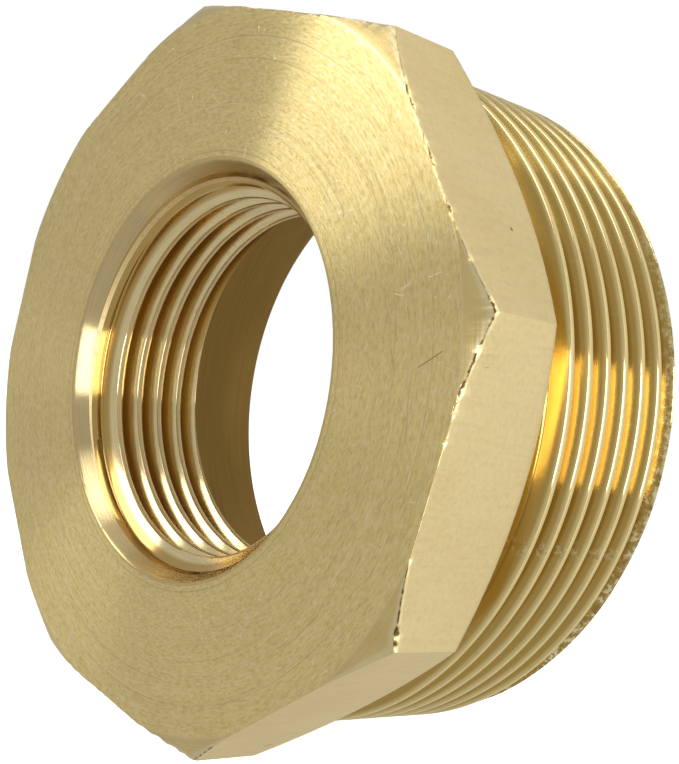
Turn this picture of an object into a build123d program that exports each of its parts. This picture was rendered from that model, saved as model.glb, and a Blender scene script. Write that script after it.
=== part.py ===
from build123d import *
from build123d.topology import SkipClean
import math
import os

# Brass reducing bush: an octagonal head, a male parallel pipe thread behind it and
# a smaller female pipe thread through the head, opening into a plain counterbore at
# the male end. It is one piece of brass, turned and threaded from octagonal bar.
#
# It is built about local Z, with the female face at z = 0 and the male end at
# z = total_length, and then laid down: the axis becomes +Y, the female mouth opens
# towards -Y, and one flat of the octagon faces straight down.

# ---- driving dimensions, mm ------------------------------------------------
across_flats = 60.0          # wrench size of the octagonal head
face_circle_r = 30.48        # circle where the front face meets the chamfer
front_chamfer_slope = 0.653  # fall of the front chamfer per mm of radius
head_thickness = 10.24       # front face to rear shoulder
rear_circle_r = 29.45        # circle where the rear shoulder meets the rear chamfer
rear_chamfer_slope = 0.80    # fall of the rear chamfer per mm of radius
total_length = 27.1          # female face to male end

pitch = 2.309                # 11 threads per inch, both threads
thread_depth = 1.479         # depth of the 55 degree form
half_angle = 27.5            # degrees, half of the thread angle
crest_land = 0.25 * pitch    # width of the flat left on each crest

male_major_r = 29.807        # 2 inch parallel pipe thread, crest radius
neck_r = 28.20               # smooth neck between head and thread
neck_end = 11.30             # where the neck gives way to the thread
neck_lead = 0.55             # rise of the run-out cone per mm of radius
male_phase_deg = -45.0       # angle of the male crest at male_phase_z
male_phase_z = 13.08
end_r = 29.55                # radius of the male end's edge
end_chamfer_slope = 0.70     # rise of the end chamfer per mm of radius
sectors = 8                  # faces divided this many times round the axis
first_sector_deg = 10.0
groove_overrun = 0.35        # how far a groove cutter stands proud of its blank

female_minor_r = 15.50       # 1 inch parallel pipe thread, crest radius
mouth_r = 17.82              # mouth of the entry chamfer in the front face
entry_r = 16.58              # inner end of the entry chamfer
entry_depth = 2.16
entry_lead = 0.75            # rise of the thread's lead-in per mm of radius
female_end = 12.70           # where the female thread opens into the counterbore
female_phase_deg = 135.0     # angle of the female crest at female_phase_z
female_phase_z = 3.51
counterbore_r = 24.10        # plain waterway at the male end
counterbore_mouth_r = 24.50  # opened mouth of the waterway
counterbore_mouth_depth = 0.4

# ---- derived ----------------------------------------------------------------
flat_r = across_flats / 2.0
corner_r = flat_r / math.cos(math.pi / 8.0)
tan_half = math.tan(math.radians(half_angle))
groove_top = pitch - crest_land
groove_root = groove_top - 2.0 * thread_depth * tan_half


def revolved(points):
    """Solid of revolution about Z of a closed profile of (radius, z) points."""
    wire = Polyline(*[(r, 0, z) for r, z in points], close=True)
    return revolve(make_face(wire), axis=Axis.Z, revolution_arc=360)


def in_sectors(solid, reach, low, high, count, first_deg):
    """The same solid with its faces divided at equal angles about Z, so that each
    stretch of thread crest is a short cylindrical land."""
    rect = make_face(Polyline((0, 0, low), (reach, 0, low), (reach, 0, high),
                              (0, 0, high), close=True))
    step = 360.0 / count
    wedge = revolve(rect, axis=Axis.Z, revolution_arc=step)
    out = solid & wedge.rotate(Axis.Z, first_deg)
    with SkipClean():
        for i in range(1, count):
            out = out + (solid & wedge.rotate(Axis.Z, first_deg + step * i))
    return out


def z_of_crest(phase_z, phase_deg, low, turns=0):
    """First crest height above low, at angle 0, of a right-hand thread."""
    z = phase_z - pitch * phase_deg / 360.0
    while z > low:
        z -= pitch
    while z < low:
        z += pitch
    return z + turns * pitch


def groove(root_r, top_r, over, start_z, turns):
    """Right-hand helical groove cutter. Its narrow root lies at root_r, its flanks
    open to groove_top at top_r and run on past it by over."""
    s = 1.0 if top_r > root_r else -1.0
    far_r = top_r + s * over
    w_far = groove_top / 2.0 + over * tan_half
    w_root = groove_root / 2.0
    path = Helix(pitch=pitch, height=turns * pitch, radius=(root_r + top_r) / 2.0,
                 center=(0, 0, start_z))
    pts = [(root_r, 0, start_z - w_root), (root_r, 0, start_z + w_root),
           (far_r, 0, start_z + w_far), (far_r, 0, start_z - w_far)]
    section = make_face(Polyline(*pts, close=True))
    return sweep(sections=section, path=path, is_frenet=True)


# ---- octagonal head with its two conical chamfers ---------------------------
head_outer = corner_r + 2.0
octagon = RegularPolygon(radius=flat_r, side_count=8, major_radius=False,
                         rotation=22.5)
head = extrude(octagon, amount=head_thickness)
front_z = (head_outer - face_circle_r) * front_chamfer_slope
rear_z = head_thickness - (head_outer - rear_circle_r) * rear_chamfer_slope
head_cone = revolved([(0, 0), (face_circle_r, 0), (head_outer, front_z),
                      (head_outer, rear_z), (rear_circle_r, head_thickness),
                      (0, head_thickness)])
head = head & head_cone

# ---- helical grooves, cut in long plain blanks --------------------------------
# A groove lies half a pitch from its crests. Each groove starts and ends inside a
# blank that is longer than the part, and the blank is then trimmed to shape.
male_root_r = male_major_r - thread_depth
male_groove_z = z_of_crest(male_phase_z, male_phase_deg, 5.0) + pitch / 2.0
male_turns = math.ceil((total_length + 3.0 - male_groove_z) / pitch)
male_blank = Cylinder(male_major_r, total_length + 12.0,
                      align=(Align.CENTER, Align.CENTER, Align.MIN))
male_blank = male_blank - groove(male_root_r, male_major_r, groove_overrun,
                                 male_groove_z, male_turns)
male_blank = in_sectors(male_blank, male_major_r + 5.0, -5.0,
                        total_length + 20.0, sectors, first_sector_deg)

female_root_r = female_minor_r + thread_depth
female_groove_z = z_of_crest(female_phase_z, female_phase_deg, -4.0) + pitch / 2.0
female_turns = math.ceil((female_end + 2.5 - female_groove_z) / pitch)
female_blank = Cylinder(corner_r + 8.0, total_length + 24.0,
                        align=(Align.CENTER, Align.CENTER, Align.MIN)) \
    .translate((0, 0, -12.0))
female_blank = female_blank - Cylinder(female_minor_r, 4.0 * total_length)
female_blank = female_blank - groove(female_root_r, female_minor_r,
                                     groove_overrun, female_groove_z,
                                     female_turns)
female_blank = in_sectors(female_blank, corner_r + 20.0, -20.0,
                          total_length + 20.0, sectors, first_sector_deg)

# ---- shank: neck, thread and end chamfer --------------------------------------
runout = 30.0
shank_form = revolved([(0, head_thickness - 1.0), (neck_r, head_thickness - 1.0),
                       (neck_r, neck_end),
                       (runout, neck_end + (runout - neck_r) * neck_lead),
                       (runout, total_length
                        - (runout - end_r) * end_chamfer_slope),
                       (end_r, total_length),
                       (0, total_length)])
with SkipClean():
    shank = male_blank & shank_form
    body = head + shank

# ---- waterway: entry chamfer, female bore, counterbore ------------------------
with SkipClean():
    body = body & female_blank
mouth_slope = (mouth_r - entry_r) / entry_depth
runin = entry_r - (female_minor_r - 0.5)
mouth = revolved([(0, -1.0), (mouth_r + mouth_slope, -1.0),
                  (entry_r, entry_depth),
                  (entry_r - runin, entry_depth + runin * entry_lead),
                  (0, entry_depth + runin * entry_lead)])
counterbore = revolved([(0, female_end), (counterbore_r, female_end),
                        (counterbore_r, total_length - counterbore_mouth_depth),
                        (counterbore_mouth_r, total_length),
                        (counterbore_mouth_r, total_length + 1.0),
                        (0, total_length + 1.0)])
with SkipClean():
    body = body - counterbore
    body = body - mouth

# ---- lay it down: local Z -> +Y, local Y -> -Z -------------------------------
bush = body.rotate(Axis.X, -90)

os.makedirs("parts", exist_ok=True)
solids = bush.solids()
print("faces", len(bush.faces()), "solids", len(solids), "volume mm3", round(sum(s.volume for s in solids), 1),
      "valid", all(s.is_valid for s in solids))
export_step(Compound(children=list(solids)) if len(solids) > 1 else solids[0],
            "parts/reducing_bush.step")
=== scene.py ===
import math
import bpy
import bmesh
import numpy as np
from mathutils import Matrix, Vector


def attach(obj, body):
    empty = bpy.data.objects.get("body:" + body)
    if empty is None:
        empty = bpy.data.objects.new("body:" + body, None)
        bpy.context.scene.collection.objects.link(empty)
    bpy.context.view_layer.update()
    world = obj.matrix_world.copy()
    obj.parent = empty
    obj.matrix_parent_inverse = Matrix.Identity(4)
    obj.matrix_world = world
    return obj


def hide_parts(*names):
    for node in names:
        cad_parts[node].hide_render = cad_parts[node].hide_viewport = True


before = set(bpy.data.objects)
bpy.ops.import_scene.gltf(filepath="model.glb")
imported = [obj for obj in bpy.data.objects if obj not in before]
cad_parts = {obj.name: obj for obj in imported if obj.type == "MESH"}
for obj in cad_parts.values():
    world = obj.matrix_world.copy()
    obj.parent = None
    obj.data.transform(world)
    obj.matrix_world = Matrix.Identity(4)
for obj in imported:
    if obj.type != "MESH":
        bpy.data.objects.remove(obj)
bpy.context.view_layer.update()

MM = 0.001

# ---------------------------------------------------------------- dimensions, mm
FLAT_R = 30.0            # half of the wrench size
FACE_R = 30.48           # circle where the front face meets its chamfer
FRONT_SLOPE = 0.653
HEAD = 10.24
REAR_R = 29.45
REAR_SLOPE = 0.80
LENGTH = 27.1
PITCH = 2.309
DEPTH = 1.479
MALE_R = 29.807
NECK_R = 28.20
NECK_END = 11.30
NECK_LEAD = 0.55
END_R = 29.55
END_SLOPE = 0.70
FEMALE_R = 15.50
MOUTH_R = 17.82
ENTRY_R = 16.58
ENTRY_Y = 2.16
ENTRY_LEAD = 0.75
FEMALE_END = 12.70
BORE_R = 24.10
BORE_MOUTH_R = 24.50
BORE_MOUTH_Y = 0.4

rng = np.random.default_rng(20521)


# ---------------------------------------------------------------- angle noise
def angle_noise(psi, cells, seed, power=1.0):
    """Smooth periodic noise of angle in degrees, 0..1."""
    table = np.random.default_rng(seed).random(cells) ** power
    t = (np.asarray(psi) % 360.0) / 360.0 * cells
    i = np.floor(t).astype(int)
    f = t - i
    f = f * f * (3 - 2 * f)
    return table[i % cells] * (1 - f) + table[(i + 1) % cells] * f


def bumps(psi, items):
    """Sum of small bumps: (centre deg, half width deg, height)."""
    psi = np.asarray(psi)
    out = np.zeros_like(psi, dtype=float)
    for c, w, h in items:
        d = (psi - c + 180.0) % 360.0 - 180.0
        out += h * np.exp(-(d / w) ** 2)
    return out


# ---------------------------------------------------------------- section of each part
def r_oct(psi):
    d = (np.asarray(psi) + 22.5) % 45.0 - 22.5
    return FLAT_R / np.cos(np.radians(d))


MALE_FORM = [(0.0, 0.0), (0.20, 0.004), (0.275, 0.035), (0.335, 0.115), (0.640, 0.675), (0.950, 1.270),
             (1.045, 1.405), (1.1545, 1.445)]
FEMALE_FORM = [(0.0, 0.0), (0.19, 0.004), (0.265, 0.030), (0.325, 0.100), (0.640, 0.675), (0.955, 1.280),
               (1.050, 1.410), (1.1545, 1.450)]


def form_depth(u, form):
    u = np.abs((np.asarray(u) + PITCH / 2) % PITCH - PITCH / 2)
    xs = [p[0] for p in form]
    ds = [p[1] for p in form]
    return np.interp(u, xs, ds)


def male_crest(psi):
    return 13.08 + PITCH * (45.0 - psi) / 360.0


def female_crest(psi):
    return 1.201 + PITCH * (-psi - 135.0) / 360.0


def male_point(psi, y):
    y = np.clip(y, NECK_END, LENGTH)
    r = MALE_R - form_depth(y - male_crest(psi), MALE_FORM)
    r = np.minimum(r, NECK_R + (y - NECK_END) / NECK_LEAD)
    r = np.minimum(r, END_R + (LENGTH - y) / END_SLOPE)
    return r, y


FEM_START = 1.30


def female_point(psi, y):
    y = np.clip(y, FEM_START, FEMALE_END)
    r = FEMALE_R + form_depth(y - female_crest(psi), FEMALE_FORM)
    cone = np.where(y <= ENTRY_Y, MOUTH_R - (MOUTH_R - ENTRY_R) * y / ENTRY_Y,
                    ENTRY_R - (y - ENTRY_Y) / ENTRY_LEAD)
    r = np.maximum(r, cone)
    return r, y


# region numbers, which are also material slots
FACE, CHAMFER, FLAT, REAR, MALE, END, BORE, FEMALE, MOUTH, CREST, CREST_IN = range(11)
rings = []      # (n, r array, y array, region of the strip that follows, edge value, burr value, which sets the painted shadow under the burr)


def cols(n):
    return np.arange(n + 1) * 360.0 / n


def add(n, r, y, region, edge=0.0, burr=0.0):
    r = np.broadcast_to(np.asarray(r, float), (n + 1,)).copy()
    y = np.broadcast_to(np.asarray(y, float), (n + 1,)).copy()
    e = np.broadcast_to(np.asarray(edge, float), (n + 1,)).copy()
    b = np.broadcast_to(np.asarray(burr, float), (n + 1,)).copy()
    rings.append((n, r, y, region, e, b))


# ---- front face, from the mouth outwards
for rr in (MOUTH_R + 0.10, MOUTH_R + 0.35, 19.5, 22.5):
    add(360, rr, 0.0, FACE, 1.0 if rr < MOUTH_R + 0.2 else 0.0)
for rr in (25.5, 27.6):
    add(720, rr, 0.0, FACE)
p = cols(720)
add(720, np.minimum(FACE_R, r_oct(p)) - 0.9, 0.0, FACE)

# ---- the front edge: face, chamfer, flat. It is ragged, as turned brass bar is
N = 1440
p = cols(N)
ro = r_oct(p)
rf = np.minimum(FACE_R, ro)
w = ro - rf                                    # width of the chamfer at this angle
fine = angle_noise(p, 1440, 3)
fine2 = angle_noise(p, 720, 4)
mid = angle_noise(p, 260, 5, 2.0)
slow = angle_noise(p, 48, 6)
nicks = [(58.2, 0.6, 0.16), (56.0, 0.9, 0.18), (54.0, 0.8, 0.24), (47.7, 0.6, 0.22), (45.2, 0.55, 0.22),
         (44.1, 0.5, 0.18), (36.8, 0.7, 0.24), (29.5, 0.5, 0.10), (24.0, 0.6, 0.12), (22.6, 0.5, 0.16),
         (17.7, 0.5, 0.12), (12.5, 0.7, 0.18), (10.0, 0.6, 0.20), (6.0, 0.7, 0.14), (-10.3, 0.4, 0.14),
         (-20.3, 0.8, 0.22), (-22.0, 0.5, 0.15)]
_r = np.random.default_rng(77)
for _ in range(60):
    nicks.append((_r.uniform(64, 320), _r.uniform(0.3, 0.9), _r.uniform(0.03, 0.14)))
nick = bumps(p, nicks)

# where the burr stands up and shades the edge: (from, to, strength, thickness)
BURR = [(58.2, 66.0, 0.45, 0.0), (52.6, 57.6, 0.95, 0.7), (47.7, 52.6, 0.70, 0.15), (43.4, 47.7, 1.0, 0.55),
        (37.6, 43.4, 0.65, 0.15), (35.9, 37.6, 1.0, 0.9), (25.0, 35.9, 0.40, 0.0), (22.0, 25.0, 0.85, 0.35),
        (18.0, 22.0, 0.75, 0.35), (8.5, 18.0, 0.85, 0.30), (4.6, 8.5, 0.60, 0.10), (-19.0, -10.0, 0.70, 0.05),
        (-22.0, -19.0, 1.0, 0.8), (-47.0, -41.0, 0.5, 0.1), (112.0, 118.0, 0.7, 0.3), (133.0, 146.0, 0.5, 0.1),
        (170.0, 176.0, 0.8, 0.4), (188.0, 203.0, 0.6, 0.2), (222.0, 229.0, 0.8, 0.4), (262.0, 275.0, 0.6, 0.2),
        (291.0, 299.0, 0.7, 0.3), (76.0, 81.0, 0.7, 0.2), (92.0, 99.0, 0.5, 0.1)]


def burr_at(psi):
    psi = np.asarray(psi)
    st, th = np.zeros_like(psi), np.zeros_like(psi)
    for a, b, s_, t_ in BURR:
        d = (psi - a) % 360.0
        inside = np.clip(d / 0.35, 0, 1) * np.clip(((b - a) - d) / 0.35, 0, 1) * (d <= (b - a))
        st = np.maximum(st, s_ * inside)
        th = np.maximum(th, t_ * inside)
    return st, th


burr_s, burr_t = burr_at(p)
grit = 0.45 + 0.9 * angle_noise(p, 1100, 8)
grit2 = angle_noise(p, 620, 9)
burr_s, burr_t = burr_s * np.clip(grit, 0, 1.1), np.clip(burr_t * (0.25 + 1.5 * grit2), 0, 1)
burr_s[-1], burr_t[-1] = burr_s[0], burr_t[0]
seam = slice(-1, None)
for arr in (fine, fine2, mid, slow, nick):
    arr[-1] = arr[0]
cy = (ro - FACE_R) * FRONT_SLOPE               # height of the chamfer at the flats
cy = np.maximum(cy, 0.0)
tw = np.clip(w / 0.30, 0.0, 1.0)
rag = 0.030 + 0.050 * fine * mid + 0.02 * slow
add(N, rf - 0.26, 0.0, FACE)
add(N, rf - 0.09 - 0.03 * fine2, 0.0, FACE, 0.2)
# face-to-chamfer edge, softly broken
add(N, rf - 0.02 * tw - 0.045 * (1 - tw) - nick * 0.5 * (1 - tw), 0.010 + 0.02 * fine * (1 - tw), CHAMFER, 0.30)
add(N, rf + np.minimum(0.08, 0.25 * w) * tw - 0.030 * (1 - tw) - nick * 0.6 * (1 - tw),
    np.minimum(0.08, 0.25 * w) * FRONT_SLOPE * tw + 0.022 * (1 - tw) + 0.008, CHAMFER, 0.15)
add(N, rf + 0.45 * w - 0.02 * (1 - tw) - nick * 0.6 * (1 - tw),
    0.45 * w * FRONT_SLOPE + 0.034 * (1 - tw), CHAMFER, 0.0)
inset = np.minimum(0.16, 0.4 * w)
add(N, ro - inset - 0.012 * (1 - tw) - nick * 0.5, cy - inset * FRONT_SLOPE + 0.045 * (1 - tw) + 0.004 - 0.05 * burr_t * grit2,
    CHAMFER, 0.35, 0.15 * burr_s)
# chamfer-to-flat edge with a rolled burr
add(N, ro - rag * 0.6 - nick * 0.9, cy - 0.018 * tw + 0.050 * (1 - tw) + 0.015 * fine2 + nick * 0.1, FLAT, 0.5, burr_s)
add(N, ro - 0.002 - 0.015 * fine - nick * 0.75 - 0.05 * burr_s, cy + 0.065 + 0.03 * fine2 + 0.22 * nick, FLAT, 0.35,
    burr_s * np.clip(0.40 + burr_t, 0, 1))
add(N, ro - 0.008 - nick * 0.10 - 0.03 * burr_t, cy + 0.15 + 0.08 * mid * fine + 0.50 * nick, FLAT, 0.1, 0.55 * burr_s * burr_t)
add(N, ro - 0.004, cy + 0.34 + 0.08 * slow, FLAT, 0.0, 0.0)

# ---- flats
N = 720
p = cols(N)
ro = r_oct(p)
cy = np.maximum((ro - FACE_R) * FRONT_SLOPE, 0.0)
ry = HEAD - (ro - REAR_R) * REAR_SLOPE
dent = 0.0
for f in (0.13, 0.34, 0.56, 0.78, 0.93):
    add(N, ro, cy + (ry - cy) * f, FLAT)
add(N, ro, ry - 0.14, FLAT, 0.2)
n1 = angle_noise(p, 720, 11)
n1[-1] = n1[0]
add(N, ro - 0.015 - 0.02 * n1, ry - 0.02, REAR, 0.8)
add(N, ro - 0.075 - 0.03 * n1, ry + 0.055, REAR, 0.5)
add(N, REAR_R + (ro - REAR_R) * 0.45, HEAD - (ro - REAR_R) * 0.45 * REAR_SLOPE, REAR)
add(N, REAR_R + 0.05, HEAD - 0.045, REAR, 0.4)
add(N, REAR_R - 0.06, HEAD - 0.004, REAR, 0.3)
add(N, 28.95, HEAD, REAR)
add(360, NECK_R + 0.22, HEAD, REAR)
add(360, NECK_R + 0.07, HEAD + 0.05, REAR)
add(360, NECK_R, HEAD + 0.18, MALE)
add(360, NECK_R, HEAD + 0.60, MALE)
add(360, NECK_R, NECK_END - 0.06, MALE)

# ---- male thread: rings follow the helix
N = 360
p = cols(N)
stops = [q[0] for q in MALE_FORM]
turn = sorted(set([s for s in stops[1:]] + [PITCH - s for s in stops[1:-1]]))
turns_from = -3
for m in range(turns_from, 8):
    base = male_crest(p) + PITCH * m
    for s in turn:
        y = base + s
        if y.max() < NECK_END or y.min() > LENGTH:
            continue
        r, yy = male_point(p, y)
        add(N, r, yy, CREST if s == turn[-1] else MALE)
r_last, _y = male_point(p, np.full(N + 1, LENGTH))
e1 = angle_noise(p, 360, 21)
e1[-1] = e1[0]
add(N, r_last, LENGTH, END, 1.0)
add(N, np.minimum(r_last - 0.10 - 0.05 * e1, 29.4), LENGTH, END, 0.6)
add(N, 27.9, LENGTH, END)
add(N, 26.2, LENGTH, END)
add(N, BORE_MOUTH_R + 0.12, LENGTH, END)
add(N, BORE_MOUTH_R + 0.01, LENGTH - 0.02, BORE, 0.8)
add(N, BORE_R + 0.04, LENGTH - BORE_MOUTH_Y + 0.05, BORE, 0.3)
for yy in (LENGTH - BORE_MOUTH_Y - 0.10, 24.0, 20.5, 17.0, 14.0, FEMALE_END + 0.35):
    add(N, BORE_R, yy, BORE)
add(N, BORE_R - 0.09, FEMALE_END + 0.08, BORE)
add(N, BORE_R - 0.30, FEMALE_END, BORE)
for rr in (22.0, 19.5, 17.5):
    add(N, rr, FEMALE_END, BORE)
r_f, _y = female_point(p, np.full(N + 1, FEMALE_END))
add(N, r_f + 0.10, FEMALE_END, BORE, 0.4)

# ---- female thread, from the inside out to the mouth
stops = [q[0] for q in FEMALE_FORM]
turn = sorted(set([s for s in stops[1:]] + [PITCH - s for s in stops[1:-1]]), reverse=True)
first = True
for m in range(8, -4, -1):
    base = female_crest(p) + PITCH * m
    for s in turn:
        y = base + s
        if y.max() < FEM_START or y.min() > FEMALE_END:
            continue
        if first:
            r, yy = female_point(p, np.full(N + 1, FEMALE_END))
            add(N, r, yy, FEMALE, 0.6)
            first = False
        r, yy = female_point(p, y)
        add(N, r, yy, CREST_IN if s == turn[-1] else FEMALE)
r, yy = female_point(p, np.full(N + 1, FEM_START))
add(N, r, yy, MOUTH)
m1 = angle_noise(p, 360, 31)
m1[-1] = m1[0]
cone = lambda yv: MOUTH_R - (MOUTH_R - ENTRY_R) * yv / ENTRY_Y
for yv in (1.00, 0.62, 0.30):
    add(N, cone(yv), yv, MOUTH)
add(N, cone(0.12) , 0.12, MOUTH, 0.4)
add(N, MOUTH_R + 0.01 + 0.02 * m1, 0.018, FACE, 1.0)

# ---------------------------------------------------------------- mesh
verts, edge_val, burr_val = [], [], []
for n, r, y, region, e, b in rings:
    a = np.radians(cols(n))
    verts.append(np.stack([r * np.cos(a), y, r * np.sin(a)], 1))
    edge_val.append(e)
    burr_val.append(b)
starts = np.concatenate([[0], np.cumsum([len(v) for v in verts])])[:-1]
V = np.concatenate(verts) * MM
E = np.concatenate(edge_val)
faces, regions = [], []
K = len(rings)
for k in range(K):
    n0, n1 = rings[k][0], rings[(k + 1) % K][0]
    s0, s1 = int(starts[k]), int(starts[(k + 1) % K])
    reg = rings[k][3]
    if n0 == n1:
        i = np.arange(n0)
        q = np.stack([s0 + i, s0 + i + 1, s1 + i + 1, s1 + i], 1)
        faces += q.tolist()
        regions += [reg] * n0
    elif n1 == 2 * n0:
        for i in range(n0):
            faces.append([s0 + i, s0 + i + 1, s1 + 2 * i + 1])
            faces.append([s0 + i, s1 + 2 * i + 1, s1 + 2 * i])
            faces.append([s0 + i + 1, s1 + 2 * i + 2, s1 + 2 * i + 1])
        regions += [reg] * (3 * n0)
    elif n0 == 2 * n1:
        for i in range(n1):
            faces.append([s0 + 2 * i, s0 + 2 * i + 1, s1 + i])
            faces.append([s0 + 2 * i + 1, s1 + i + 1, s1 + i])
            faces.append([s0 + 2 * i + 1, s0 + 2 * i + 2, s1 + i + 1])
        regions += [reg] * (3 * n1)
    else:
        raise ValueError("ring sizes differ by more than two to one")

me = bpy.data.meshes.new("reducing_bush_brass")
me.from_pydata(V.tolist(), [], faces)
attr = me.attributes.new("edge", "FLOAT", "POINT")
attr.data.foreach_set("value", E.astype(np.float32))
attr = me.attributes.new("burr", "FLOAT", "POINT")
attr.data.foreach_set("value", np.concatenate(burr_val).astype(np.float32))
me.polygons.foreach_set("material_index", np.array(regions, np.int32))
bm = bmesh.new()
bm.from_mesh(me)
bmesh.ops.remove_doubles(bm, verts=bm.verts, dist=2e-7)
bmesh.ops.dissolve_degenerate(bm, edges=bm.edges, dist=1e-7)
rim = [e for e in bm.edges if len(e.link_faces) == 1]
if rim:
    bmesh.ops.holes_fill(bm, edges=rim, sides=6)
bmesh.ops.recalc_face_normals(bm, faces=bm.faces)
loose = [v for v in bm.verts if not v.link_faces]
bmesh.ops.delete(bm, geom=loose, context="VERTS")
open_edges = sum(1 for e in bm.edges if len(e.link_faces) != 2)
print("mesh: verts", len(bm.verts), "faces", len(bm.faces), "tris", sum(len(f.verts) - 2 for f in bm.faces),
      "rim", len(rim), "open edges", open_edges, "volume mm3", round(bm.calc_volume() * 1e9, 1))
bm.to_mesh(me)
bm.free()
me.polygons.foreach_set("use_smooth", np.ones(len(me.polygons), bool))
me.set_sharp_from_angle(angle=math.radians(38.0))
me.update()
bush = bpy.data.objects.new("bush_body", me)
bpy.context.scene.collection.objects.link(bush)
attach(bush, "root")
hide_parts("reducing_bush")


# ---------------------------------------------------------------- node helpers
class Tree:
    def __init__(self, tree):
        self.t = tree
        self.n = tree.nodes
        self.x = 0

    def node(self, kind, **kw):
        nd = self.n.new(kind)
        nd.location = (self.x, 0)
        self.x += 40
        for k, v in kw.items():
            setattr(nd, k, v)
        return nd

    def put(self, socket, value):
        if value is None:
            return
        if isinstance(value, bpy.types.NodeSocket):
            self.t.links.new(value, socket)
        elif isinstance(value, (tuple, list)) and len(value) == 3 and socket.type == "RGBA":
            socket.default_value = (*value, 1.0)
        else:
            socket.default_value = value

    def math(self, op, a, b=None, c=None, clamp=False):
        nd = self.node("ShaderNodeMath", operation=op, use_clamp=clamp)
        self.put(nd.inputs[0], a)
        if b is not None:
            self.put(nd.inputs[1], b)
        if c is not None:
            self.put(nd.inputs[2], c)
        return nd.outputs[0]

    def vmath(self, op, a, b=None, scale=None):
        nd = self.node("ShaderNodeVectorMath", operation=op)
        self.put(nd.inputs[0], a)
        if b is not None:
            self.put(nd.inputs[1], b)
        if scale is not None:
            self.put(nd.inputs["Scale"], scale)
        return nd.outputs["Value"] if op in ("LENGTH", "DOT_PRODUCT", "DISTANCE") else nd.outputs["Vector"]

    def sep(self, v):
        nd = self.node("ShaderNodeSeparateXYZ")
        self.put(nd.inputs[0], v)
        return nd.outputs

    def comb(self, x=0.0, y=0.0, z=0.0):
        nd = self.node("ShaderNodeCombineXYZ")
        self.put(nd.inputs[0], x)
        self.put(nd.inputs[1], y)
        self.put(nd.inputs[2], z)
        return nd.outputs[0]

    def noise(self, v, scale=1.0, detail=2.0, rough=0.5, distort=0.0):
        nd = self.node("ShaderNodeTexNoise")
        self.put(nd.inputs["Vector"], v)
        nd.inputs["Scale"].default_value = scale
        nd.inputs["Detail"].default_value = detail
        nd.inputs["Roughness"].default_value = rough
        nd.inputs["Distortion"].default_value = distort
        return nd.outputs[0]

    def voronoi(self, v, scale=1.0, feature="F1", rand=1.0):
        nd = self.node("ShaderNodeTexVoronoi", feature=feature)
        self.put(nd.inputs["Vector"], v)
        nd.inputs["Scale"].default_value = scale
        nd.inputs["Randomness"].default_value = rand
        return nd.outputs

    def ramp(self, f, lo, hi, a=0.0, b=1.0, smooth=True):
        nd = self.node("ShaderNodeMapRange", interpolation_type="SMOOTHSTEP" if smooth else "LINEAR", clamp=True)
        self.put(nd.inputs["Value"], f)
        nd.inputs["From Min"].default_value = lo
        nd.inputs["From Max"].default_value = hi
        self.put(nd.inputs["To Min"], a)
        self.put(nd.inputs["To Max"], b)
        return nd.outputs["Result"]

    def mix(self, f, a, b, blend="MIX"):
        nd = self.node("ShaderNodeMix", data_type="RGBA", blend_type=blend)
        self.put(nd.inputs[0], f)
        self.put(nd.inputs[6], a)
        self.put(nd.inputs[7], b)
        return nd.outputs[2]

    def bump(self, height, strength, distance, normal=None):
        nd = self.node("ShaderNodeBump")
        nd.inputs["Strength"].default_value = strength
        nd.inputs["Distance"].default_value = distance
        self.put(nd.inputs["Height"], height)
        if normal is not None:
            self.put(nd.inputs["Normal"], normal)
        return nd.outputs[0]


def new_material(name):
    m = bpy.data.materials.new(name)
    m.use_nodes = True
    t = Tree(m.node_tree)
    bsdf = m.node_tree.nodes["Principled BSDF"]
    bsdf.inputs["Metallic"].default_value = 1.0
    pos = t.node("ShaderNodeTexCoord").outputs["Object"]
    xyz = t.sep(pos)
    radial = t.comb(xyz[0], 0.0, xyz[2])
    r = t.vmath("LENGTH", radial)
    rmm = t.math("MULTIPLY", r, 1000.0)
    ymm = t.math("MULTIPLY", xyz[1], 1000.0)
    unit = t.vmath("NORMALIZE", radial)
    return m, t, bsdf, pos, xyz, unit, rmm, ymm


def across_marks(t, unit):
    """Direction across the turning marks, within the surface."""
    u = t.sep(unit)
    round_axis = t.comb(t.math("MULTIPLY", u[2], -1.0), 0.0, u[0])
    normal = t.node("ShaderNodeNewGeometry").outputs["Normal"]
    return t.vmath("NORMALIZE", t.vmath("CROSS_PRODUCT", normal, round_axis))


def dashes(t, pos2d, cell_per_mm, length, width, share, seed=0.0):
    """Short scratches, one per cell at most: returns 0..1. pos2d is in mm."""
    v = t.vmath("ADD", pos2d, (seed, seed * 0.37, seed * 0.71))
    out = t.voronoi(v, scale=cell_per_mm)
    d = t.vmath("SUBTRACT", v, t.vmath("SCALE", out["Position"], scale=1.0))
    col = t.sep(out["Color"])
    ang = t.math("MULTIPLY", col[0], 6.283)
    ca, sa = t.math("COSINE", ang), t.math("SINE", ang)
    dx = t.sep(d)
    u = t.math("ADD", t.math("MULTIPLY", dx[0], ca), t.math("MULTIPLY", dx[2], sa))
    w_ = t.math("SUBTRACT", t.math("MULTIPLY", dx[2], ca), t.math("MULTIPLY", dx[0], sa))
    ln = t.math("MULTIPLY", col[1], length)
    a = t.math("LESS_THAN", t.math("ABSOLUTE", u), ln)
    b = t.ramp(t.math("ABSOLUTE", w_), width * 0.4, width, 1.0, 0.0)
    c = t.math("LESS_THAN", col[2], share)
    return t.math("MULTIPLY", t.math("MULTIPLY", a, b), c)


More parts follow.
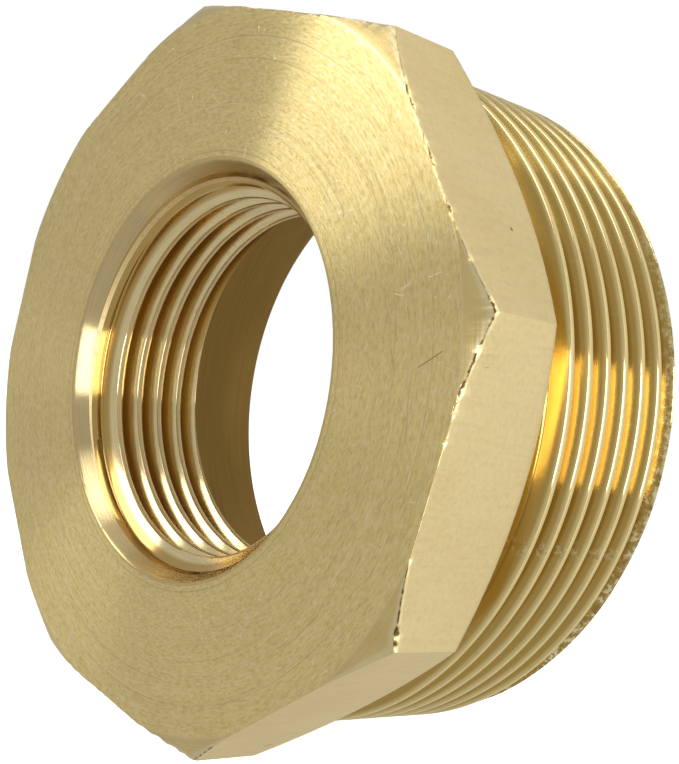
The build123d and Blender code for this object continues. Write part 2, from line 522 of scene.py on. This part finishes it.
def seg(t, pos2d, a, b, width, feather=0.5):
    """1 on a straight scratch from a to b (mm, in the plane of the face), 0 away from it."""
    ba = (b[0] - a[0], 0.0, b[1] - a[1])
    l2 = ba[0] ** 2 + ba[2] ** 2
    pa = t.vmath("SUBTRACT", pos2d, (a[0], 0.0, a[1]))
    h = t.math("MULTIPLY", t.vmath("DOT_PRODUCT", pa, ba), 1.0 / l2, clamp=True)
    d = t.vmath("LENGTH", t.vmath("SUBTRACT", pa, t.vmath("SCALE", ba, scale=h)))
    return t.ramp(d, width * (1 - feather) * 0.5, width * 0.5, 1.0, 0.0)


def polar(psi, r):
    return (r * math.cos(math.radians(psi)), r * math.sin(math.radians(psi)))


def ring_line(t, rmm, r0, width):
    return t.ramp(t.math("ABSOLUTE", t.math("SUBTRACT", rmm, r0)), width * 0.25, width * 0.5, 1.0, 0.0)


def attr_value(t, name):
    nd = t.node("ShaderNodeAttribute", attribute_name=name)
    return nd.outputs["Fac"]


def many(t, parts):
    out = parts[0]
    for q in parts[1:]:
        out = t.math("MAXIMUM", out, q)
    return out


# ---------------------------------------------------------------- brass, one finish per surface
FACE_LIGHT = [  # psi, r -> psi, r, width, strength
    (-105.0, 29.3, -105.3, 27.9, 0.16, 1.0), (-105.3, 28.1, -104.2, 27.7, 0.12, 0.8), (-117.5, 24.2, -117.0, 22.4, 0.10, 0.5),
    (-62.0, 21.9, -61.0, 20.2, 0.09, 0.7), (-49.0, 23.4, -48.2, 22.8, 0.12, 0.8), (-40.0, 21.3, -39.6, 21.1, 0.22, 0.9),
    (-34.0, 28.7, -33.8, 28.5, 0.22, 0.7), (49.5, 20.9, 49.8, 20.7, 0.22, 0.9), (70.5, 25.7, 69.8, 24.2, 0.13, 0.9),
    (75.0, 21.0, 78.4, 20.75, 0.10, 0.8), (78.6, 20.7, 82.0, 20.5, 0.10, 0.6), (89.5, 19.1, 89.3, 18.2, 0.12, 0.8),
    (128.7, 27.6, 127.6, 26.8, 0.10, 0.8), (127.6, 26.8, 129.3, 26.6, 0.10, 0.7), (28.9, 26.0, 28.3, 24.9, 0.10, 0.6), (56.0, 20.6, 52.1, 20.7, 0.12, 0.5),
    (51.4, 21.3, 48.3, 20.8, 0.10, 0.5), (39.9, 27.7, 37.4, 27.5, 0.09, 0.6), (34.0, 30.0, 31.0, 30.2, 0.10, 0.6),
]
FACE_DARK = [(17.7, 28.8, 15.6, 26.7, 0.13, 0.9), (18.5, 23.9, 16.2, 24.3, 0.09, 0.5), (9.5, 26.2, 4.0, 26.6, 0.08, 0.5)]


def face_material():
    m, t, b, pos, xyz, unit, rmm, ymm = new_material("brass_faced")
    u = t.sep(unit)
    # turning lines: fast along the radius, slow round the axis
    arc = t.comb(t.math("MULTIPLY", rmm, 9.0), t.math("MULTIPLY", u[0], 1.6), t.math("MULTIPLY", u[2], 1.6))
    lines = t.noise(arc, 1.0, 3.0, 0.6)
    arc2 = t.comb(t.math("MULTIPLY", rmm, 2.2), t.math("MULTIPLY", u[0], 2.5), t.math("MULTIPLY", u[2], 2.5))
    bands = t.noise(arc2, 1.0, 2.0, 0.5)
    # short dashes along the turning direction
    arc3 = t.comb(t.math("MULTIPLY", rmm, 5.2), t.math("MULTIPLY", u[0], 40.0), t.math("MULTIPLY", u[2], 40.0))
    dash = t.noise(arc3, 1.0, 2.0, 0.6)
    mott = t.noise(pos, 160.0, 3.0, 0.6)
    grain = t.noise(pos, 2400.0, 2.0, 0.7)
    flat2 = t.comb(t.math("MULTIPLY", xyz[0], 1000.0), 0.0, t.math("MULTIPLY", xyz[2], 1000.0))
    scr = t.math("MULTIPLY", dashes(t, flat2, 0.22, 0.9, 0.050, 0.45, 3.1), 0.6)
    scr2 = t.math("MULTIPLY", dashes(t, flat2, 0.50, 0.35, 0.050, 0.35, 11.7), 0.7)
    marks = many(t, [t.math("MULTIPLY", seg(t, flat2, polar(a, ra), polar(c, rc), wd), st)
                     for a, ra, c, rc, wd, st in FACE_LIGHT])
    scratch = many(t, [scr, scr2, marks])
    cuts = many(t, [t.math("MULTIPLY", seg(t, flat2, polar(a, ra), polar(c, rc), wd), st)
                    for a, ra, c, rc, wd, st in FACE_DARK])
    # deeper single turning rings, which come and go round the face; their light lines are painted highlight and their
    # dark lines painted shade
    come = t.ramp(t.noise(t.comb(t.math("MULTIPLY", u[0], 1.3), 4.0, t.math("MULTIPLY", u[2], 1.3)), 1.0, 1.0), 0.38, 0.62)
    go = t.math("SUBTRACT", 1.0, come)
    ring_highlight = many(t, [t.math("MULTIPLY", ring_line(t, rmm, 27.78, 0.13), t.math("ADD", t.math("MULTIPLY", come, 0.4), 0.15)),
                       t.math("MULTIPLY", t.math("MULTIPLY", ring_line(t, rmm, 25.35, 0.12), go), 0.5),
                       t.math("MULTIPLY", t.math("MULTIPLY", ring_line(t, rmm, 26.6, 0.10), go), 0.5),
                       t.math("MULTIPLY", t.math("MULTIPLY", ring_line(t, rmm, 22.4, 0.14), come), 0.45)])
    ring_groove_shade = many(t, [t.math("MULTIPLY", ring_line(t, rmm, 27.92, 0.13), t.math("ADD", t.math("MULTIPLY", come, 0.3), 0.12)),
                       t.math("MULTIPLY", t.math("MULTIPLY", ring_line(t, rmm, 26.1, 0.12), come), 0.4),
                       t.math("MULTIPLY", t.math("MULTIPLY", ring_line(t, rmm, 24.3, 0.12), go), 0.35),
                       t.math("MULTIPLY", ring_line(t, rmm, 18.55, 0.16), 0.35)])
    base = t.mix(t.ramp(mott, 0.35, 0.68), (0.965, 0.752, 0.312), (1.0, 0.778, 0.325))
    base = t.mix(t.ramp(bands, 0.30, 0.75, 0.0, 0.55), base, (0.86, 0.690, 0.300))
    base = t.mix(t.ramp(dash, 0.50, 0.68, 0.0, 0.55), base, (0.66, 0.515, 0.215))
    base = t.mix(t.ramp(dash, 0.32, 0.48, 0.75, 0.0), base, (1.0, 0.85, 0.50))
    base = t.mix(t.ramp(grain, 0.35, 0.75, 0.0, 0.26), base, (0.70, 0.54, 0.225))
    # painted highlight and painted shade along the turning rings
    base = t.mix(ring_highlight, base, (0.98, 0.84, 0.50))
    base = t.mix(ring_groove_shade, base, (0.50, 0.375, 0.15))
    # painted highlight: the scratch lines are lightened to near white, as where they catch the light
    base = t.mix(t.math("MULTIPLY", scratch, 0.9), base, (1.0, 0.95, 0.74))
    base = t.mix(t.math("MULTIPLY", cuts, 0.85), base, (0.36, 0.26, 0.10))
    e = attr_value(t, "edge")
    base = t.mix(t.math("MULTIPLY", t.ramp(e, 0.15, 0.5), 0.55), base, (0.62, 0.46, 0.18))
    t.put(b.inputs["Base Color"], base)
    rough = t.math("ADD", t.ramp(lines, 0.25, 0.75, 0.19, 0.29), t.math("MULTIPLY", scratch, -0.04))
    t.put(b.inputs["Roughness"], rough)
    b.inputs["Anisotropic"].default_value = 1.0
    t.put(b.inputs["Tangent"], across_marks(t, unit))
    h = t.math("ADD", t.math("MULTIPLY", lines, 0.9), t.math("MULTIPLY", scratch, 0.9))
    h = t.math("ADD", h, t.math("MULTIPLY", t.math("ADD", cuts, ring_groove_shade), -0.6))
    h = t.math("ADD", h, t.math("MULTIPLY", dash, 0.35))
    t.put(b.inputs["Normal"], t.bump(h, 0.45, 0.000012))
    return m


def chamfer_material():
    m, t, b, pos, xyz, unit, rmm, ymm = new_material("brass_chamfer")
    u = t.sep(unit)
    arc = t.comb(t.math("MULTIPLY", rmm, 7.0), t.math("MULTIPLY", u[0], 3.0), t.math("MULTIPLY", u[2], 3.0))
    lines = t.noise(arc, 1.0, 3.0, 0.6)
    mott = t.noise(pos, 300.0, 3.0, 0.6)
    chat = t.noise(t.comb(t.math("MULTIPLY", rmm, 0.8), t.math("MULTIPLY", u[0], 90.0), t.math("MULTIPLY", u[2], 90.0)), 1.0, 2.0)
    base = t.mix(t.ramp(mott, 0.35, 0.7), (0.79, 0.605, 0.25), (0.85, 0.67, 0.305))
    base = t.mix(t.ramp(lines, 0.35, 0.8, 0.0, 0.45), base, (0.72, 0.54, 0.21))
    rag = t.noise(pos, 2600.0, 2.0, 0.6)
    # painted highlight: the chamfer is lightened towards near white along its edges
    base = t.mix(t.math("MULTIPLY", t.ramp(attr_value(t, "edge"), 0.12, 0.30), 0.45), base, (0.98, 0.87, 0.56))
    # painted shadow: a dark ragged line where the rolled burr overhangs the edge
    dark = t.math("MULTIPLY", t.ramp(attr_value(t, "burr"), 0.10, 0.60), t.ramp(rag, 0.30, 0.52))
    base = t.mix(dark, base, (0.17, 0.10, 0.03))
    t.put(b.inputs["Base Color"], base)
    t.put(b.inputs["Roughness"], t.ramp(t.math("ADD", lines, t.math("MULTIPLY", chat, 0.4)), 0.4, 1.1, 0.22, 0.36))
    b.inputs["Anisotropic"].default_value = 0.9
    t.put(b.inputs["Tangent"], across_marks(t, unit))
    t.put(b.inputs["Normal"], t.bump(t.math("ADD", lines, t.math("MULTIPLY", chat, 0.5)), 0.6, 0.00002))
    return m


def flat_material():
    m, t, b, pos, xyz, unit, rmm, ymm = new_material("brass_drawn_flat")
    drawn = t.noise(t.vmath("MULTIPLY", pos, (2200.0, 240.0, 2200.0)), 1.0, 3.0, 0.65)
    grain = t.noise(pos, 2400.0, 3.0, 0.7)
    mott = t.noise(pos, 110.0, 3.0, 0.55)
    pits = t.voronoi(pos, 330.0)
    pitc = t.sep(pits["Color"])
    pit = t.math("MULTIPLY", t.ramp(pits["Distance"], 0.03, 0.07, 1.0, 0.0), t.math("LESS_THAN", pitc[0], 0.16))
    # patches of short dark drag marks that run with the axis
    drag = t.noise(t.vmath("MULTIPLY", pos, (2300.0, 520.0, 2300.0)), 1.0, 2.0, 0.55)
    patch = t.ramp(t.noise(t.vmath("MULTIPLY", pos, (150.0, 210.0, 150.0)), 1.0, 1.0, 0.4), 0.67, 0.76)
    drag = t.math("MULTIPLY", t.ramp(drag, 0.58, 0.70), patch)
    base = t.mix(t.ramp(mott, 0.3, 0.7), (0.955, 0.775, 0.400), (1.0, 0.825, 0.440))
    base = t.mix(t.ramp(drawn, 0.4, 0.8, 0.0, 0.24), base, (0.76, 0.60, 0.30))
    base = t.mix(t.ramp(grain, 0.45, 0.8, 0.0, 0.22), base, (0.68, 0.52, 0.25))
    base = t.mix(t.math("MULTIPLY", drag, 0.45), base, (0.50, 0.36, 0.15))
    base = t.mix(t.math("MULTIPLY", pit, 0.80), base, (0.24, 0.16, 0.07))
    e = attr_value(t, "edge")
    base = t.mix(t.math("MULTIPLY", t.ramp(e, 0.1, 0.5), 0.35), base, (0.70, 0.52, 0.20))
    # painted shadow: a dark ragged line on the flat under the rolled burr
    rag = t.noise(pos, 2600.0, 3.0, 0.75)
    dark = t.ramp(t.math("ADD", attr_value(t, "burr"), t.math("MULTIPLY", t.math("SUBTRACT", rag, 0.5), 1.6)), 0.30, 0.75)
    base = t.mix(t.math("MULTIPLY", dark, 0.88), base, (0.19, 0.115, 0.035))
    t.put(b.inputs["Base Color"], base)
    t.put(b.inputs["Roughness"], t.ramp(grain, 0.25, 0.8, 0.44, 0.56))
    h = t.math("ADD", t.math("ADD", t.math("MULTIPLY", drawn, 0.5), t.math("MULTIPLY", grain, 0.5)),
               t.math("MULTIPLY", t.math("ADD", pit, drag), -1.2))
    t.put(b.inputs["Normal"], t.bump(h, 0.35, 0.00002))
    return m


def thread_material(name, tint, dark, root, root_from, root_to, rough_lo, rough_hi):
    m, t, b, pos, xyz, unit, rmm, ymm = new_material(name)
    u = t.sep(unit)
    v = t.comb(t.math("MULTIPLY", rmm, 9.0), t.math("MULTIPLY", u[0], 3.0), t.math("MULTIPLY", u[2], 3.0))
    v2 = t.vmath("ADD", v, t.comb(t.math("MULTIPLY", ymm, 6.0), 0.0, 0.0))
    tool = t.noise(v2, 1.0, 3.0, 0.6)
    wide = t.noise(pos, 240.0, 2.0, 0.5)
    speck = t.noise(pos, 1300.0, 2.0, 0.6)
    base = t.mix(t.ramp(wide, 0.3, 0.7), tint, tuple(min(1.0, c * 1.07) for c in tint))
    base = t.mix(t.ramp(tool, 0.45, 0.8, 0.0, 0.5), base, dark)
    # painted shade: the base colour darkens towards the root of the cut, where the groove lies in its own shade
    base = t.mix(t.ramp(rmm, root_from, root_to, 0.0, 0.9), base, root)
    base = t.mix(t.ramp(speck, 0.62, 0.74, 0.0, 0.45), base, dark)
    t.put(b.inputs["Base Color"], base)
    t.put(b.inputs["Roughness"], t.ramp(tool, 0.25, 0.8, rough_lo, rough_hi))
    b.inputs["Anisotropic"].default_value = 0.92
    b.inputs["Coat Weight"].default_value = 0.7          # a film of cutting oil left in the thread
    b.inputs["Coat Roughness"].default_value = 0.13
    b.inputs["Coat IOR"].default_value = 1.5
    t.put(b.inputs["Tangent"], across_marks(t, unit))
    # torn metal where the tool runs out at the end, and one torn line along the thread
    tear = t.ramp(ymm, LENGTH - 0.9, LENGTH - 0.15)
    line_at = t.vmath("DOT_PRODUCT", unit, (math.sin(math.radians(8.75)), 0.0, math.cos(math.radians(8.75))))
    torn = t.math("MAXIMUM", tear, t.math("MULTIPLY", t.ramp(t.math("ABSOLUTE", line_at), 0.006, 0.028, 1.0, 0.0), 0.45 if root_from > 20 else 0.0))
    crumb = t.noise(pos, 1500.0, 3.0, 0.7)
    base = t.mix(t.math("MULTIPLY", torn, t.ramp(crumb, 0.52, 0.60)), base, (0.40, 0.25, 0.06))
    base = t.mix(t.math("MULTIPLY", torn, t.ramp(crumb, 0.40, 0.48, 1.0, 0.0)), base, (1.0, 0.90, 0.55))
    t.put(b.inputs["Base Color"], base)
    h = t.math("ADD", t.math("MULTIPLY", tool, 0.6), t.math("MULTIPLY", speck, 0.25))
    h = t.math("ADD", h, t.math("MULTIPLY", t.math("MULTIPLY", torn, crumb), 6.0))
    t.put(b.inputs["Normal"], t.bump(h, 0.30, 0.000012))
    return m


def crest_material(name, light, dark):
    """The land left on top of a thread: the bar's own skin, matt beside the cut flanks."""
    m, t, b, pos, xyz, unit, rmm, ymm = new_material(name)
    u = t.sep(unit)
    grain = t.noise(pos, 2200.0, 3.0, 0.7)
    along = t.noise(t.comb(t.math("MULTIPLY", ymm, 5.0), t.math("MULTIPLY", u[0], 14.0), t.math("MULTIPLY", u[2], 14.0)), 1.0, 2.0)
    base = t.mix(t.ramp(along, 0.35, 0.65), light, tuple(min(1.0, c * 1.05) for c in light))
    base = t.mix(t.ramp(grain, 0.50, 0.78, 0.0, 0.55), base, dark)
    t.put(b.inputs["Base Color"], base)
    t.put(b.inputs["Roughness"], t.ramp(grain, 0.25, 0.8, 0.46, 0.58))
    t.put(b.inputs["Normal"], t.bump(t.math("ADD", grain, along), 0.30, 0.00002))
    return m


def turned_material(name, tint, dark, rough_lo, rough_hi, per_mm, axis_y=False, strength=0.5, aniso=0.6):
    m, t, b, pos, xyz, unit, rmm, ymm = new_material(name)
    u = t.sep(unit)
    along = t.math("MULTIPLY", ymm if axis_y else rmm, per_mm)
    v = t.comb(along, t.math("MULTIPLY", u[0], 2.0), t.math("MULTIPLY", u[2], 2.0))
    lines = t.noise(v, 1.0, 3.0, 0.6)
    mott = t.noise(pos, 200.0, 3.0, 0.6)
    base = t.mix(t.ramp(mott, 0.3, 0.7), tint, tuple(min(1.0, c * 1.05) for c in tint))
    base = t.mix(t.ramp(lines, 0.40, 0.8, 0.0, 0.5), base, dark)
    e = attr_value(t, "edge")
    base = t.mix(t.math("MULTIPLY", t.ramp(e, 0.3, 0.9), 0.4), base, dark)
    t.put(b.inputs["Base Color"], base)
    t.put(b.inputs["Roughness"], t.ramp(lines, 0.25, 0.8, rough_lo, rough_hi))
    b.inputs["Anisotropic"].default_value = aniso
    t.put(b.inputs["Tangent"], across_marks(t, unit))
    t.put(b.inputs["Normal"], t.bump(lines, strength, 0.00003))
    return m


mats = {
    FACE: face_material(),
    CHAMFER: chamfer_material(),
    FLAT: flat_material(),
    REAR: turned_material("brass_shoulder", (0.86, 0.64, 0.24), (0.66, 0.46, 0.14), 0.25, 0.4, 6.0),
    MALE: thread_material("brass_thread_outer", (0.86, 0.69, 0.30), (0.60, 0.43, 0.12), (0.52, 0.320, 0.048), 29.80, 29.42, 0.12, 0.17),
    END: turned_material("brass_end", (0.70, 0.55, 0.30), (0.45, 0.33, 0.16), 0.35, 0.55, 5.0),
    # painted shade: the waterway's base colour is far darker than the other brass, standing in for the shade inside the
    # bore
    BORE: turned_material("brass_waterway", (0.36, 0.215, 0.055), (0.28, 0.16, 0.035), 0.34, 0.44, 5.0, True, 0.3, 0.8),
    FEMALE: thread_material("brass_thread_inner", (0.89, 0.73, 0.38), (0.66, 0.50, 0.20), (0.56, 0.345, 0.070), 15.95, 16.38, 0.14, 0.20),
    MOUTH: turned_material("brass_mouth", (0.73, 0.585, 0.305), (0.55, 0.41, 0.17), 0.20, 0.27, 9.0, True, 0.4, 0.95),
    CREST: crest_material("brass_crest_outer", (0.98, 0.79, 0.39), (0.74, 0.55, 0.23)),
    CREST_IN: crest_material("brass_crest_inner", (0.84, 0.67, 0.35), (0.58, 0.42, 0.18)),
}
for k in range(11):
    me.materials.append(mats[k])

# ---------------------------------------------------------------- floor
fm = bmesh.new()
seg, radii = 96, [0.0, 0.02, 0.04, 0.06, 0.09, 0.12, 0.16, 0.21, 0.27]
centre = fm.verts.new((0, 0, 0))
prev = None
for rr in radii[1:]:
    ring = [fm.verts.new((rr * math.cos(2 * math.pi * i / seg), rr * math.sin(2 * math.pi * i / seg), 0)) for i in range(seg)]
    for i in range(seg):
        j = (i + 1) % seg
        if prev is None:
            fm.faces.new((centre, ring[i], ring[j]))
        else:
            fm.faces.new((prev[i], ring[i], ring[j], prev[j]))
    prev = ring
floor_me = bpy.data.meshes.new("floor")
fm.to_mesh(floor_me)
fm.free()
floor = bpy.data.objects.new("floor", floor_me)
bpy.context.scene.collection.objects.link(floor)
floor.location = (0.0, 0.0135, -0.03002)
floor.visible_glossy = False
floor.visible_diffuse = False
floor.visible_shadow = False
flm = bpy.data.materials.new("floor_white")
flm.use_nodes = True
ft = Tree(flm.node_tree)
fb = flm.node_tree.nodes["Principled BSDF"]
fb.inputs["Base Color"].default_value = (0.9, 0.9, 0.9, 1)
fb.inputs["Roughness"].default_value = 0.9
fb.inputs["Emission Color"].default_value = (1, 1, 1, 1)
fb.inputs["Emission Strength"].default_value = 0.72
fo = ft.node("ShaderNodeTexCoord").outputs["Object"]
fr = ft.vmath("LENGTH", fo)
fade = ft.ramp(fr, 0.07, 0.25, 1.0, 0.0)
tr = ft.node("ShaderNodeBsdfTransparent")
mx = ft.node("ShaderNodeMixShader")
ft.put(mx.inputs[0], fade)
flm.node_tree.links.new(tr.outputs[0], mx.inputs[1])
flm.node_tree.links.new(fb.outputs[0], mx.inputs[2])
flm.node_tree.links.new(mx.outputs[0], flm.node_tree.nodes["Material Output"].inputs[0])
floor_me.materials.append(flm)

# ---------------------------------------------------------------- studio light
# A room of soft panels: each is a direction, how tight it is, and how bright.
def fib(n):
    out = []
    for i in range(n):
        z = 1 - 2 * (i + 0.5) / n
        a = i * 2.399963
        q = math.sqrt(1 - z * z)
        out.append((q * math.cos(a), q * math.sin(a), z))
    return out


world = bpy.data.worlds.new("studio")
bpy.context.scene.world = world
world.use_nodes = True
wt = Tree(world.node_tree)
bg = world.node_tree.nodes["Background"]
lp = wt.node("ShaderNodeLightPath").outputs["Is Camera Ray"]
wt.put(bg.inputs["Color"], wt.mix(lp, (0.50, 0.50, 0.50), (1.0, 1.0, 1.0)))
bg.inputs["Strength"].default_value = 1.0


def softbox(name, az, el, distance, size, lit, target=(0, 0.008, 0)):
    """Area light seen from the object at that azimuth and elevation (azimuth 0 is -Y)."""
    az, el = math.radians(az), math.radians(el)
    dv = Vector((math.sin(az) * math.cos(el), -math.cos(az) * math.cos(el), math.sin(el)))
    l = bpy.data.lights.new(name, "AREA")
    l.shape = "SQUARE"
    l.size = size
    l.energy = lit * math.pi * distance * distance
    o = bpy.data.objects.new(name, l)
    bpy.context.scene.collection.objects.link(o)
    o.location = Vector(target) + dv * distance
    o.rotation_euler = (-dv).to_track_quat("-Z", "Y").to_euler()
    o.visible_camera = False
    return o


# large softboxes round the object: azimuth, elevation, size, light on the object
for k_, (az_, el_, sz_, lit_) in enumerate([(-35, 30, 0.26, 0.9), (80, 12, 0.28, 2.4), (25, 80, 0.30, 1.0)]):
    softbox("softbox_%d" % k_, az_, el_, 0.45, sz_, lit_)

# ---------------------------------------------------------------- camera
cam_data = bpy.data.cameras.new("camera")
cam = bpy.data.objects.new("camera", cam_data)
bpy.context.scene.collection.objects.link(cam)
cam_right = Vector((0.6167107851467262, 0.7421461944739431, 0.26246301073474226))
cam_up = Vector((-0.32186795661287354, -0.06653950745965106, 0.9444434917514528))
cam_back = Vector((0.7183793027596904, -0.666926922514657, 0.1978374472346305))
cam.rotation_mode = "QUATERNION"
cam.rotation_quaternion = Matrix((cam_right, cam_up, cam_back)).transposed().to_quaternion()
cam.location = (0.08888936498071555, -0.06602468735858376, 0.015177850861395371)
cam_data.sensor_width = 36.0
cam_data.lens = 61.97103904380906
cam_data.shift_x = 0.04686698571845361
cam_data.shift_y = 0.13943647958748584
cam_data.clip_start = 0.001
cam_data.clip_end = 20.0
bpy.context.scene.camera = cam
bpy.context.scene.view_settings.view_transform = "Standard"
